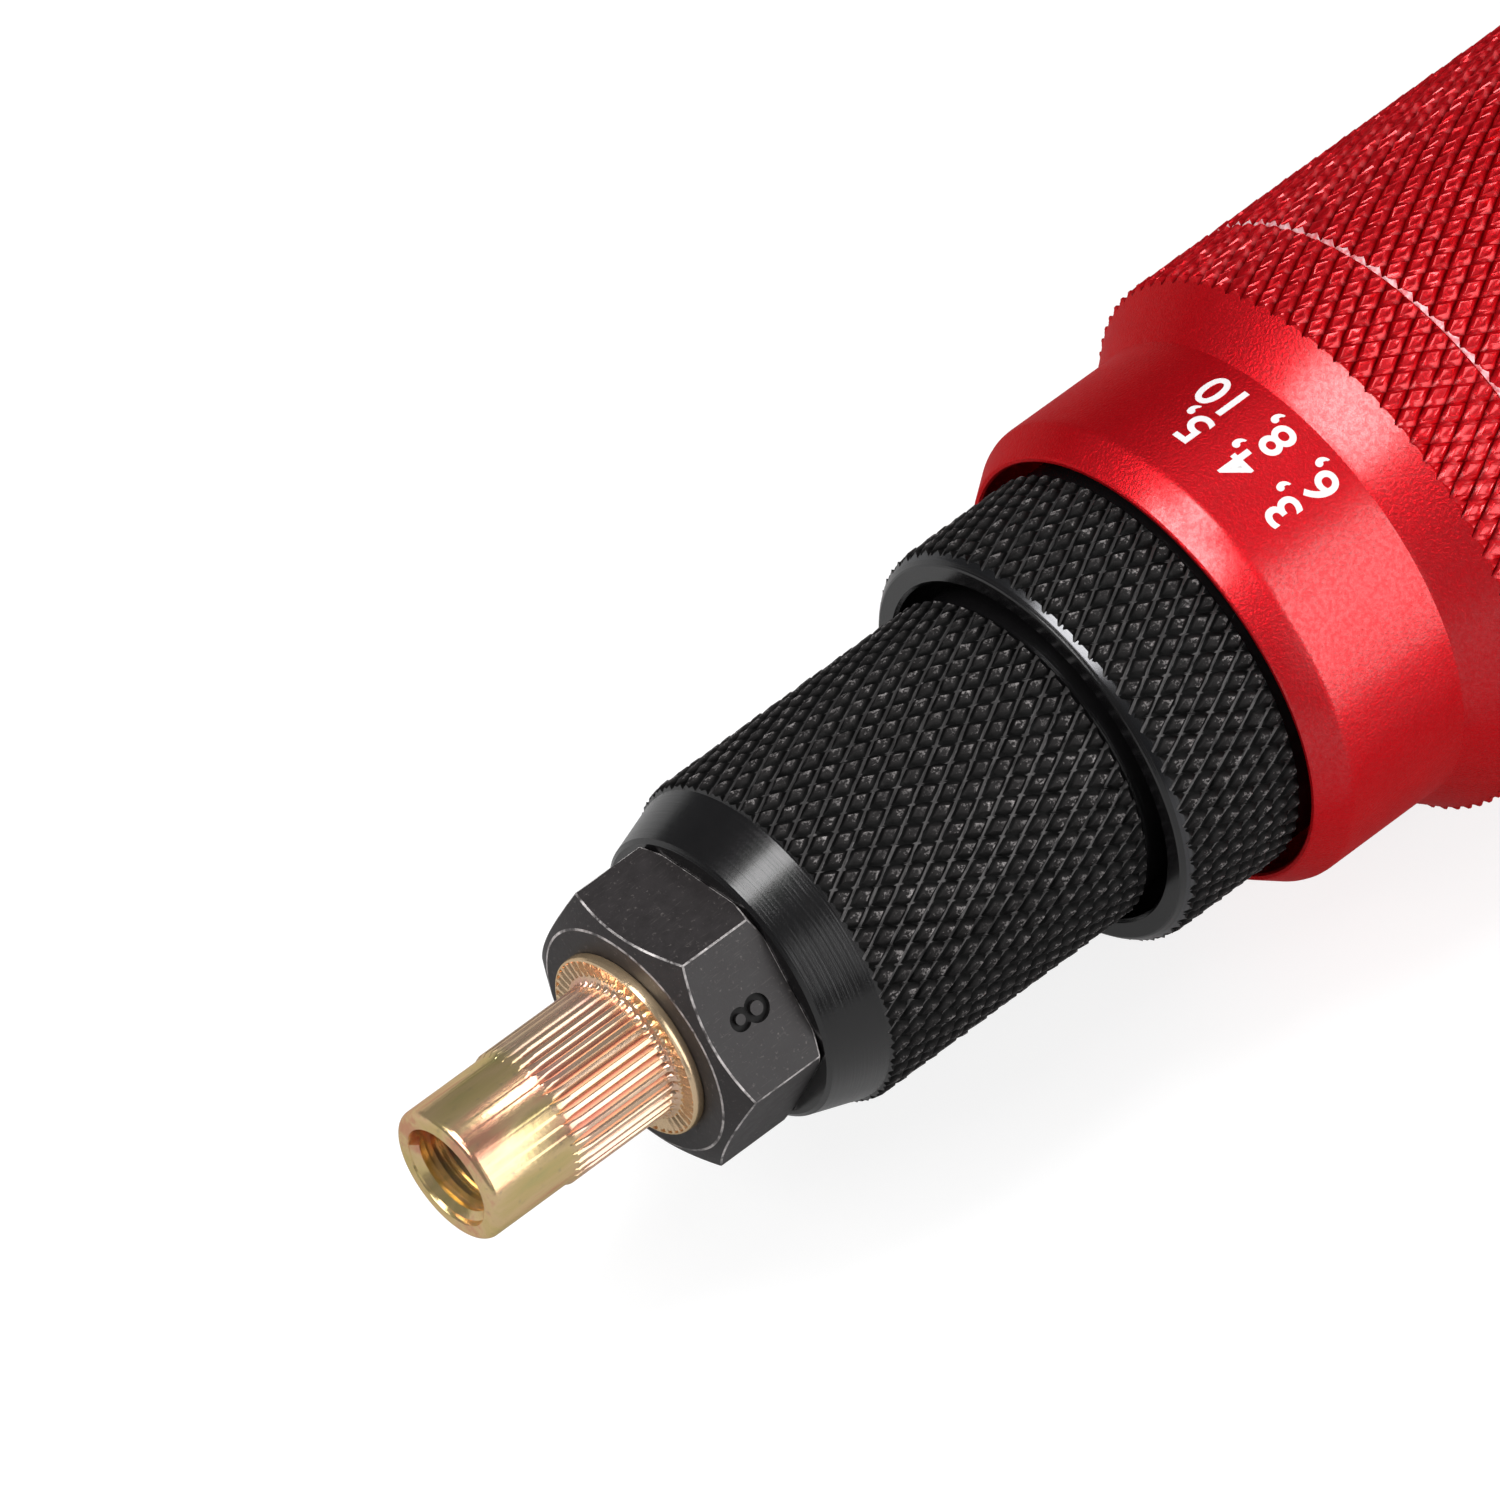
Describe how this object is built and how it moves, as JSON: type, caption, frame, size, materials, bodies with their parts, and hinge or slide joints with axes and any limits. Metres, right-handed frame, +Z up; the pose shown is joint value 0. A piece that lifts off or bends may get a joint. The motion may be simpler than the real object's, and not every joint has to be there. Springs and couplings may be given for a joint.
{
  "type": "rivet nut setting tool",
  "caption": "Drill-driven tool that pulls rivet nuts: knurled red body, black knurled nose with lock ring, hexagonal anvil, plated rivet nut, side handle and hexagonal shank.",
  "frame": {"origin": "on the tool's axis, at the face of the rivet nut's flange that meets the sheet", "axes": "+X along the tool from the nose to the drive shank, +Z up, the side handle towards -Y"},
  "size_m": [0.2134, 0.1487, 0.0466],
  "materials": {
    "front_housing": "red anodised, satin, knurled",
    "main_body": "red anodised, satin, knurled",
    "rear_cap": "red anodised, satin",
    "cap_grub_screw": "black oxide",
    "bearing_outer": "ground",
    "thrust_washer_housing": "ground",
    "shaft_seal": "matt",
    "handle_rod": "zinc plated",
    "handle_nut": "black oxide",
    "handle_grip": "matt",
    "handle_cap": "matt",
    "drive_shaft": "turned",
    "bearing_inner": "ground",
    "shaft_circlip": "black oxide",
    "thrust_washer_shaft": "ground",
    "drive_rod": "drawn",
    "thrust_cage": "pressed",
    "thrust_balls": "polished",
    "bearing_balls": "polished",
    "carriage": "turned",
    "guide_key_top": "ground",
    "guide_key_bottom": "ground",
    "mandrel_retainer": "black oxide",
    "mandrel": "black oxide",
    "tail_o_ring": "matt",
    "nose_housing": "black oxide, knurled",
    "anvil": "black oxide, worn edges",
    "lock_ring": "black oxide, knurled",
    "rivet_nut": "yellow zinc plated, iridescent"
  },
  "bodies": {
    "housing": {"front_housing": "front_housing", "main_body": "main_body", "rear_cap": "rear_cap", "cap_grub_screw": "cap_grub_screw", "bearing_outer": "bearing_outer", "thrust_washer_housing": "thrust_washer_housing", "shaft_seal": "shaft_seal", "handle_rod": "handle_rod", "handle_nut": "handle_nut", "handle_grip": "handle_grip", "handle_cap": "handle_cap"},
    "drive": {"drive_shaft": "drive_shaft", "bearing_inner": "bearing_inner", "shaft_circlip": "shaft_circlip", "thrust_washer_shaft": "thrust_washer_shaft", "drive_rod": "drive_rod"},
    "thrust_set": {"thrust_cage": "thrust_cage", "thrust_balls": "thrust_balls"},
    "bearing_set": {"bearing_balls": "bearing_balls"},
    "draw_carriage": {"carriage": "carriage", "guide_key_top": "guide_key_top", "guide_key_bottom": "guide_key_bottom", "mandrel_retainer": "mandrel_retainer"},
    "mandrel_pin": {"mandrel": "mandrel"},
    "tail_ring": {"tail_o_ring": "tail_o_ring"},
    "nose": {"nose_housing": "nose_housing", "anvil": "anvil"},
    "lock": {"lock_ring": "lock_ring"},
    "nut": {"rivet_nut": "rivet_nut"}
  },
  "joints": [
    {"name": "drive_spin", "type": "hinge", "parent": "housing", "child": "drive", "pos_m": [0.15, 0, 0], "axis": [-1, 0, 0], "range_deg": [0, 1440]},
    {"name": "carriage_pull", "type": "slide", "parent": "housing", "child": "draw_carriage", "axis": [1, 0, 0], "range_m": [0, 0.008]},
    {"name": "mandrel_spin", "type": "hinge", "parent": "draw_carriage", "child": "mandrel_pin", "pos_m": [0.03, 0, 0], "axis": [-1, 0, 0], "range_deg": [0, 1440]},
    {"name": "thrust_spin", "type": "hinge", "parent": "housing", "child": "thrust_set", "pos_m": [0.127, 0, 0], "axis": [-1, 0, 0], "range_deg": [0, 720]},
    {"name": "bearing_spin", "type": "hinge", "parent": "housing", "child": "bearing_set", "pos_m": [0.145, 0, 0], "axis": [-1, 0, 0], "range_deg": [0, 612]},
    {"name": "nose_feed", "type": "slide", "parent": "housing", "child": "tail_ring", "axis": [-1, 0, 0], "range_m": [0, 0.004]},
    {"name": "nose_turn", "type": "hinge", "parent": "tail_ring", "child": "nose", "pos_m": [0.05, 0, 0], "axis": [-1, 0, 0], "range_deg": [0, 960]},
    {"name": "lock_ring_turn", "type": "hinge", "parent": "housing", "child": "lock", "pos_m": [0.05, 0, 0], "axis": [1, 0, 0], "continuous": true},
    {"name": "nut_off", "type": "slide", "parent": "nose", "child": "nut", "axis": [-1, 0, 0], "range_m": [0, 0.03]}
  ],
  "couplings": [
    {"joint": "drive_spin", "follows": "carriage_pull", "rad_per_m": 3141.6},
    {"joint": "mandrel_spin", "follows": "carriage_pull", "rad_per_m": 3141.6},
    {"joint": "thrust_spin", "follows": "carriage_pull", "rad_per_m": 1570.8},
    {"joint": "bearing_spin", "follows": "carriage_pull", "rad_per_m": 1330.7},
    {"joint": "nose_turn", "follows": "nose_feed", "rad_per_m": 4188.7}
  ]
}
